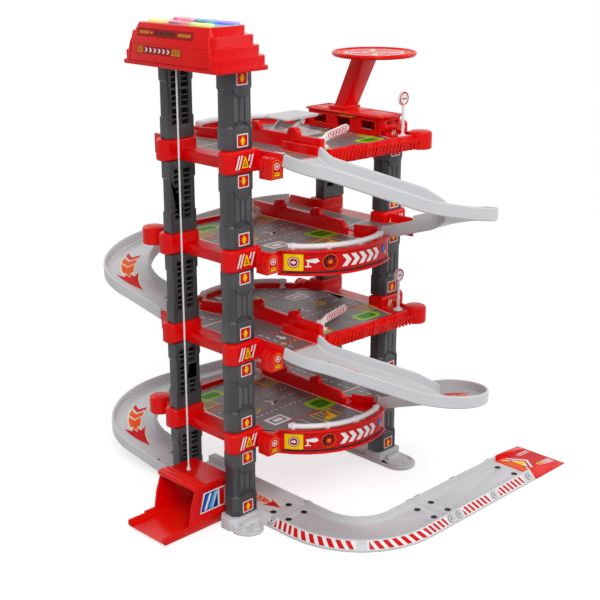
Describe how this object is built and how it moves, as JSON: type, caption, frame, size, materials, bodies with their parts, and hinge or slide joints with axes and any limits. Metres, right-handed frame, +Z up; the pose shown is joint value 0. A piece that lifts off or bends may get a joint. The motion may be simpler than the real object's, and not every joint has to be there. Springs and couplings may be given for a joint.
{
  "type": "toy parking garage",
  "caption": "Toy parking garage with stacked decks on posts, spiral ramps, a cord lift under a winch tower, barriers, a car hoist, a roof pad and clip-on track.",
  "frame": {"origin": "middle of the whole footprint, on the floor", "axes": "+Z up, +X from the lift columns towards the right-hand columns, +Y towards the back"},
  "size_m": [0.4462, 0.4452, 0.5068],
  "materials": {
    "red_plastic": "glossy moulded",
    "grey_plastic": "satin moulded",
    "dark_plastic": "satin moulded",
    "white_plastic": "glossy moulded",
    "lens_plastic": "clear tinted",
    "motor_steel": "plated can",
    "cord": "twisted thread"
  },
  "bodies": {
    "garage": {"left_front_post_1": "dark_plastic", "left_front_post_2": "dark_plastic", "left_front_post_3": "dark_plastic", "left_front_post_4": "dark_plastic", "left_front_post_5": "dark_plastic", "left_rear_post_1": "dark_plastic", "left_rear_post_2": "dark_plastic", "left_rear_post_3": "dark_plastic", "left_rear_post_4": "dark_plastic", "left_rear_post_5": "dark_plastic", "right_front_post_1": "dark_plastic", "right_front_post_2": "dark_plastic", "right_front_post_3": "dark_plastic", "right_front_post_4": "dark_plastic", "right_rear_post_1": "dark_plastic", "right_rear_post_2": "dark_plastic", "right_rear_post_3": "dark_plastic", "right_rear_post_4": "dark_plastic", "deck_1": "red_plastic", "guard_rail_1": "white_plastic", "barrier_post_1": "white_plastic", "sign_1": "white_plastic", "ramp_1": "grey_plastic", "deck_2": "red_plastic", "guard_rail_2": "white_plastic", "barrier_post_2": "white_plastic", "sign_2": "white_plastic", "ramp_2": "grey_plastic", "deck_3": "red_plastic", "guard_rail_3": "white_plastic", "barrier_post_3": "white_plastic", "sign_3": "white_plastic", "ramp_3": "grey_plastic", "deck_4": "red_plastic", "guard_rail_4": "white_plastic", "barrier_post_4": "white_plastic", "sign_4": "white_plastic", "ramp_4": "grey_plastic", "front_foot": "grey_plastic", "rear_foot": "grey_plastic", "base_bar": "grey_plastic", "ground_lane": "grey_plastic", "track_curve": "grey_plastic", "track_straight": "grey_plastic", "hoist_base": "grey_plastic", "track_end": "red_plastic", "tower_housing": "red_plastic", "station_house": "red_plastic", "helipad": "red_plastic", "tower_light_cover": "lens_plastic", "lift_cord": "cord", "winch_motor": "motor_steel"},
    "cab": {"lift_cab": "red_plastic"},
    "drum": {"winch_drum": "white_plastic"},
    "hoist_arm": {"hoist_link": "grey_plastic"},
    "hoist_top": {"hoist_platform": "grey_plastic"},
    "barrier_1": {"barrier_arm_1": "white_plastic"},
    "barrier_2": {"barrier_arm_2": "white_plastic"},
    "barrier_3": {"barrier_arm_3": "white_plastic"},
    "barrier_4": {"barrier_arm_4": "white_plastic"}
  },
  "joints": [
    {"name": "lift_slide", "type": "slide", "parent": "garage", "child": "cab", "axis": [0, 0, 1], "range_m": [0, 0.376], "deforming": ["lift_cord"]},
    {"name": "drum_spin", "type": "hinge", "parent": "garage", "child": "drum", "pos_m": [-0.15645, 0, 0.476], "axis": [0, 1, 0], "range_deg": [0, 2728]},
    {"name": "hoist_lift", "type": "hinge", "parent": "garage", "child": "hoist_arm", "pos_m": [-0.01565, 0.014, 0.3861], "axis": [0, -1, 0], "range_deg": [-25, 20]},
    {"name": "hoist_level", "type": "hinge", "parent": "hoist_arm", "child": "hoist_top", "pos_m": [-0.00091, 0.014, 0.39642], "axis": [0, -1, 0], "range_deg": [-20.1, 25.1]},
    {"name": "barrier_1_swing", "type": "hinge", "parent": "garage", "child": "barrier_1", "pos_m": [-0.00815, 0.062, 0.104], "axis": [0, 1, 0], "range_deg": [-10, 70]},
    {"name": "barrier_2_swing", "type": "hinge", "parent": "garage", "child": "barrier_2", "pos_m": [-0.03515, -0.062, 0.199], "axis": [0, -1, 0], "range_deg": [-10, 70]},
    {"name": "barrier_3_swing", "type": "hinge", "parent": "garage", "child": "barrier_3", "pos_m": [-0.00815, 0.062, 0.294], "axis": [0, 1, 0], "range_deg": [-10, 70]},
    {"name": "barrier_4_swing", "type": "hinge", "parent": "garage", "child": "barrier_4", "pos_m": [-0.03515, -0.062, 0.389], "axis": [0, -1, 0], "range_deg": [-10, 70]}
  ],
  "couplings": [
    {"joint": "drum_spin", "follows": "lift_slide", "rad_per_m": 126.58},
    {"joint": "hoist_level", "follows": "hoist_lift", "ratio": -1}
  ]
}
